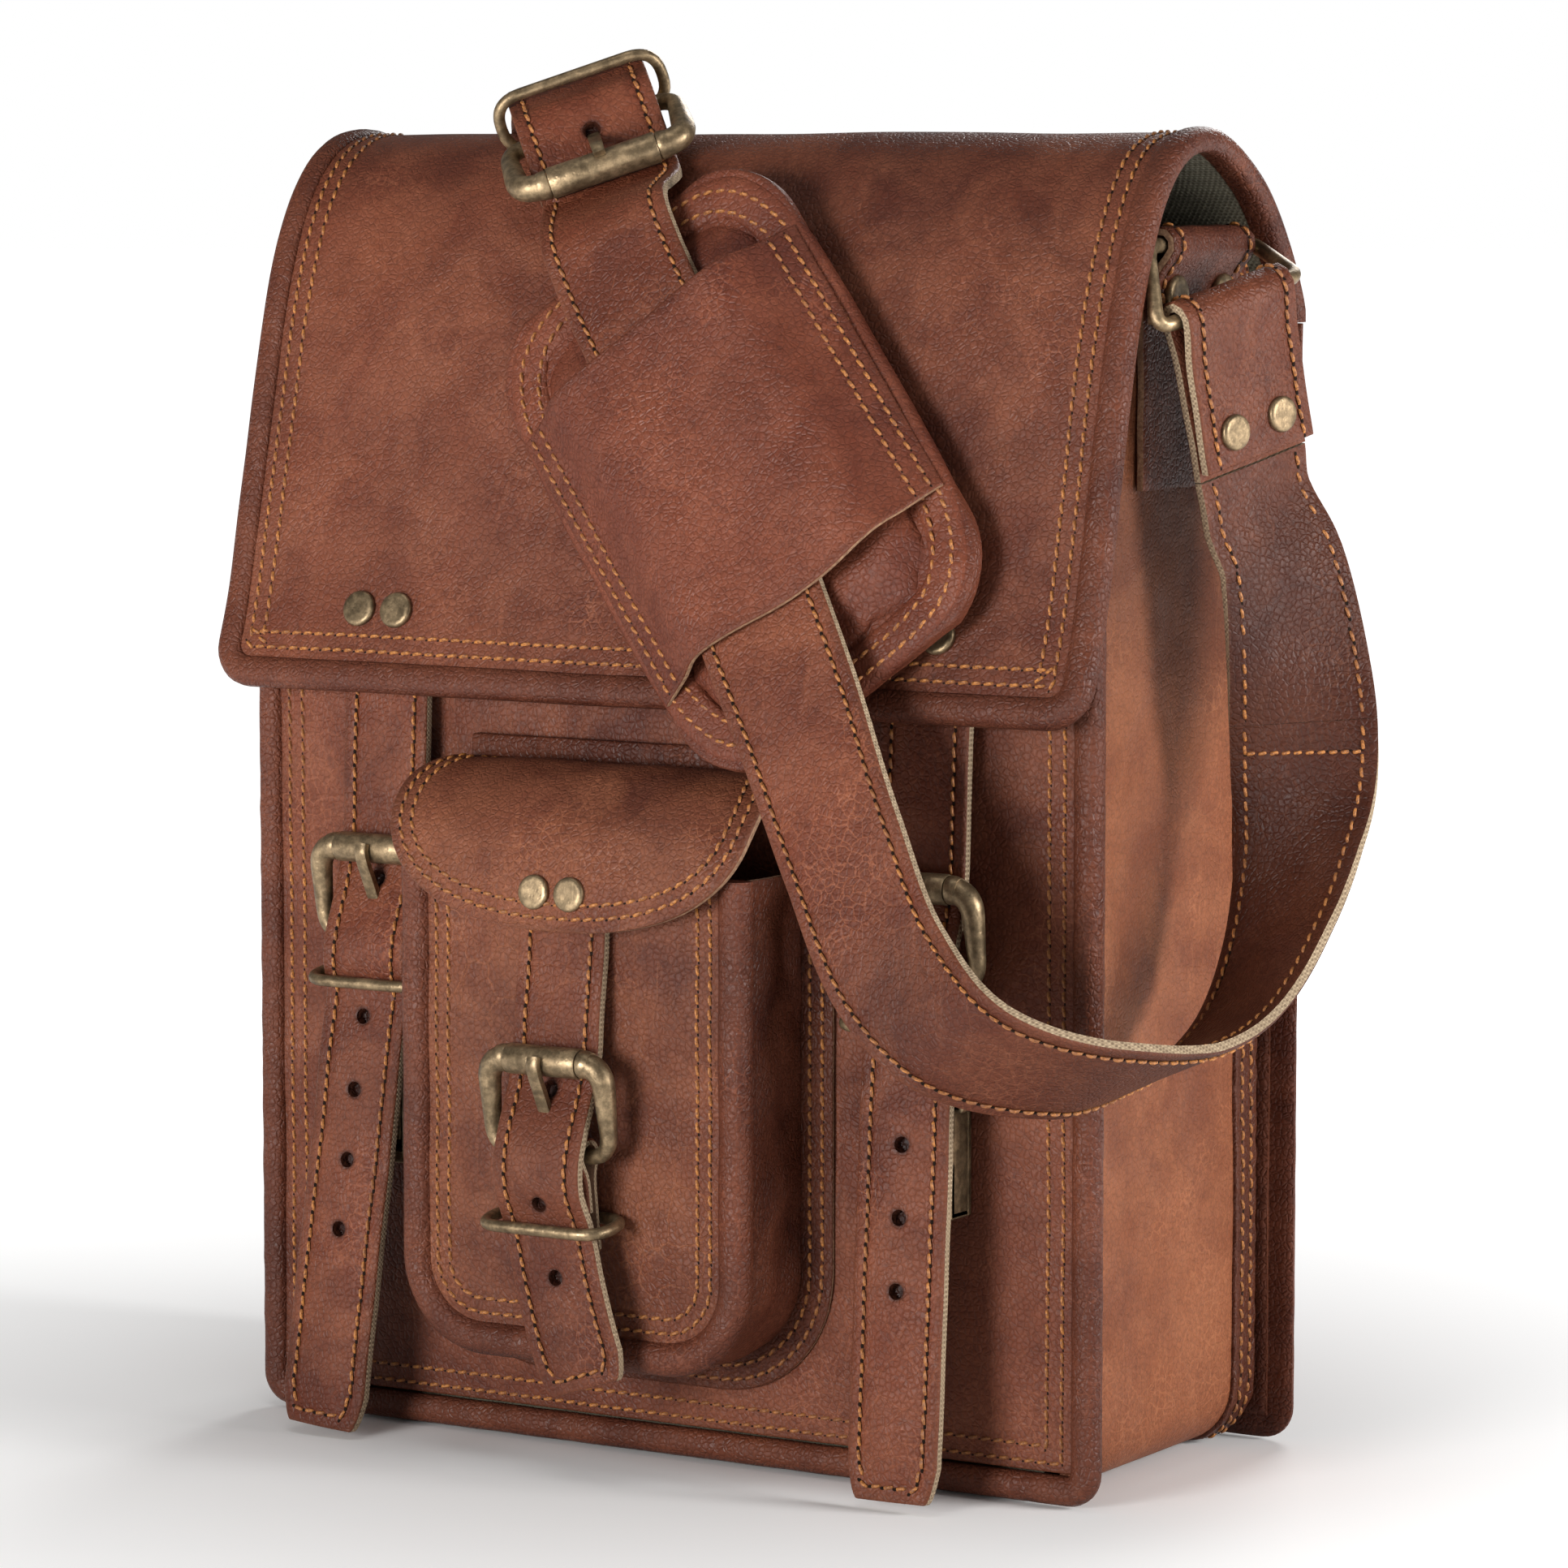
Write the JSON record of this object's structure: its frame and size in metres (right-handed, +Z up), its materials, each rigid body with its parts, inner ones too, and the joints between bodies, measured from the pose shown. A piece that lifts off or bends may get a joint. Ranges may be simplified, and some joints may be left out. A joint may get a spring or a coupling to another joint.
{
  "type": "saddle bag",
  "caption": "Upright leather bag with a domed flap, two buckled closure straps over push locks, a front pocket with its own flap and buckle, side rings and a padded shoulder strap.",
  "frame": {"origin": "Middle of the bag's bottom, on the surface it stands on", "axes": "+Z is up, -Y is the front with the pocket, and +X is the wearer's left, the viewer's right when facing the pocket"},
  "size_m": [0.3353, 0.1663, 0.3511],
  "materials": {
    "leather": "smooth waxed bridle leather, reddish brown with a faint grain and worn edges",
    "darkLeather": "thin folded edge binding leather, darker red brown, slightly glossy",
    "tanLeather": "softer lighter tan leather with a fine grain",
    "canvas": "olive grey cotton canvas, plain weave",
    "brass": "antique brass, dark in the hollows and rubbed bright on the edges"
  },
  "bodies": {
    "body": {"front_panel": "leather", "front_binding": "darkLeather", "back_panel": "leather", "back_binding": "darkLeather", "gusset": "tanLeather", "lining": "canvas", "pocket_front": "leather", "pocket_gusset": "tanLeather", "tab_left": "darkLeather", "tab_right": "darkLeather", "lock_socket_left": "brass", "lock_socket_right": "brass"},
    "lock_leaf_left": {"lock_leaf_left": "brass"},
    "lock_leaf_right": {"lock_leaf_right": "brass"},
    "ring_left": {"ring_left": "brass", "strap_end_left": "leather", "strap_rivet_left_1": "brass", "strap_rivet_left_2": "brass"},
    "ring_right": {"ring_right": "brass", "strap_end_right": "leather", "strap_rivet_right_1": "brass", "strap_rivet_right_2": "brass"},
    "flap": {"flap": "leather", "flap_binding": "darkLeather", "flap_rivet_left_1": "brass", "flap_rivet_left_2": "brass", "closure_left_strap": "leather", "closure_left_frame": "brass", "closure_left_chape": "darkLeather", "lock_tongue_left": "brass", "flap_rivet_right_1": "brass", "flap_rivet_right_2": "brass", "closure_right_strap": "leather", "closure_right_frame": "brass", "closure_right_chape": "darkLeather", "lock_tongue_right": "brass"},
    "closure_left_roller": {"closure_left_roller": "brass"},
    "closure_left_prong": {"closure_left_prong": "brass"},
    "closure_left_keeper": {"closure_left_keeper": "brass"},
    "closure_right_roller": {"closure_right_roller": "brass"},
    "closure_right_prong": {"closure_right_prong": "brass"},
    "closure_right_keeper": {"closure_right_keeper": "brass"},
    "pocket_flap": {"pocket_flap": "leather", "pocket_rivet_1": "brass", "pocket_rivet_2": "brass", "pocket_strap": "leather", "pocket_frame": "brass", "pocket_chape": "darkLeather"},
    "pocket_roller": {"pocket_roller": "brass"},
    "pocket_prong": {"pocket_prong": "brass"},
    "pocket_keeper": {"pocket_keeper": "brass"},
    "strap": {"long_strap": "leather", "strap_drop_right": "leather", "buckle_strap": "leather", "strap_drop_left": "leather", "shoulder_frame": "brass"},
    "pad": {"pad": "darkLeather"},
    "shoulder_roller": {"shoulder_roller": "brass"},
    "shoulder_prong": {"shoulder_prong": "brass"},
    "shoulder_keeper": {"shoulder_keeper": "brass"}
  },
  "joints": [
    {"name": "flap_hinge", "type": "hinge", "parent": "body", "child": "flap", "pos_m": [0, 0.0495, 0.282], "axis": [-1, 0, 0], "range_deg": [0, 100]},
    {"name": "closure_left_roller_spin", "type": "hinge", "parent": "flap", "child": "closure_left_roller", "pos_m": [-0.079, -0.06177, 0.14967], "axis": [1, 0, 0], "continuous": true},
    {"name": "closure_left_prong_lift", "type": "hinge", "parent": "flap", "child": "closure_left_prong", "pos_m": [-0.079, -0.0585, 0.1265], "axis": [1, 0, 0], "range_deg": [0, 5]},
    {"name": "closure_left_keeper_rock", "type": "hinge", "parent": "flap", "child": "closure_left_keeper", "pos_m": [-0.079, -0.05292, 0.11769], "axis": [1, 0, 0], "range_deg": [-4, 4]},
    {"name": "lock_leaf_left_press", "type": "slide", "parent": "body", "child": "lock_leaf_left", "axis": [0, 1, 0], "range_m": [0, 0.0015], "stiffness_N_per_m": 200},
    {"name": "closure_right_roller_spin", "type": "hinge", "parent": "flap", "child": "closure_right_roller", "pos_m": [0.079, -0.06177, 0.14967], "axis": [1, 0, 0], "continuous": true},
    {"name": "closure_right_prong_lift", "type": "hinge", "parent": "flap", "child": "closure_right_prong", "pos_m": [0.079, -0.0585, 0.1265], "axis": [1, 0, 0], "range_deg": [0, 5]},
    {"name": "closure_right_keeper_rock", "type": "hinge", "parent": "flap", "child": "closure_right_keeper", "pos_m": [0.079, -0.05292, 0.11769], "axis": [1, 0, 0], "range_deg": [-4, 4]},
    {"name": "lock_leaf_right_press", "type": "slide", "parent": "body", "child": "lock_leaf_right", "axis": [0, 1, 0], "range_m": [0, 0.0015], "stiffness_N_per_m": 200},
    {"name": "ring_right_swing", "type": "hinge", "parent": "body", "child": "ring_right", "pos_m": [0.1236, 0, 0.303], "axis": [0, -1, 0], "range_deg": [-4, 8]},
    {"name": "ring_left_swing", "type": "hinge", "parent": "body", "child": "ring_left", "pos_m": [-0.1236, 0, 0.303], "axis": [0, 1, 0], "range_deg": [-5, 60]},
    {"name": "pocket_flap_hinge", "type": "hinge", "parent": "body", "child": "pocket_flap", "pos_m": [-0.0085, -0.0505, 0.172], "axis": [-1, 0, 0], "range_deg": [0, 10]},
    {"name": "pocket_roller_spin", "type": "hinge", "parent": "pocket_flap", "child": "pocket_roller", "pos_m": [-0.0085, -0.08926, 0.10417], "axis": [1, 0, 0], "continuous": true},
    {"name": "pocket_prong_lift", "type": "hinge", "parent": "pocket_flap", "child": "pocket_prong", "pos_m": [-0.0085, -0.086, 0.081], "axis": [1, 0, 0], "range_deg": [0, 5]},
    {"name": "pocket_keeper_rock", "type": "hinge", "parent": "pocket_flap", "child": "pocket_keeper", "pos_m": [-0.0085, -0.07937, 0.06477], "axis": [1, 0, 0], "range_deg": [-3, 3]},
    {"name": "strap_lift", "type": "hinge", "parent": "flap", "child": "strap", "pos_m": [0, 0.0495, 0.282], "axis": [-1, 0, 0], "range_deg": [0, 40], "deforming": ["strap_drop_left", "strap_drop_right"]},
    {"name": "shoulder_roller_spin", "type": "hinge", "parent": "strap", "child": "shoulder_roller", "pos_m": [-0.0245, -0.0375, 0.322], "axis": [-0.7914, -0.5182, -0.3243], "continuous": true},
    {"name": "shoulder_prong_lift", "type": "hinge", "parent": "strap", "child": "shoulder_prong", "pos_m": [-0.03794, -0.02318, 0.33191], "axis": [-0.7914, -0.5182, -0.3243], "range_deg": [0, 5]},
    {"name": "shoulder_keeper_rock", "type": "hinge", "parent": "strap", "child": "shoulder_keeper", "pos_m": [-0.04387, -0.01378, 0.33137], "axis": [-0.7914, -0.5182, -0.3243], "range_deg": [-2, 2]},
    {"name": "pad_slide", "type": "slide", "parent": "strap", "child": "pad", "axis": [0.53, -0.2135, -0.8207], "range_m": [0, 0.006]}
  ]
}
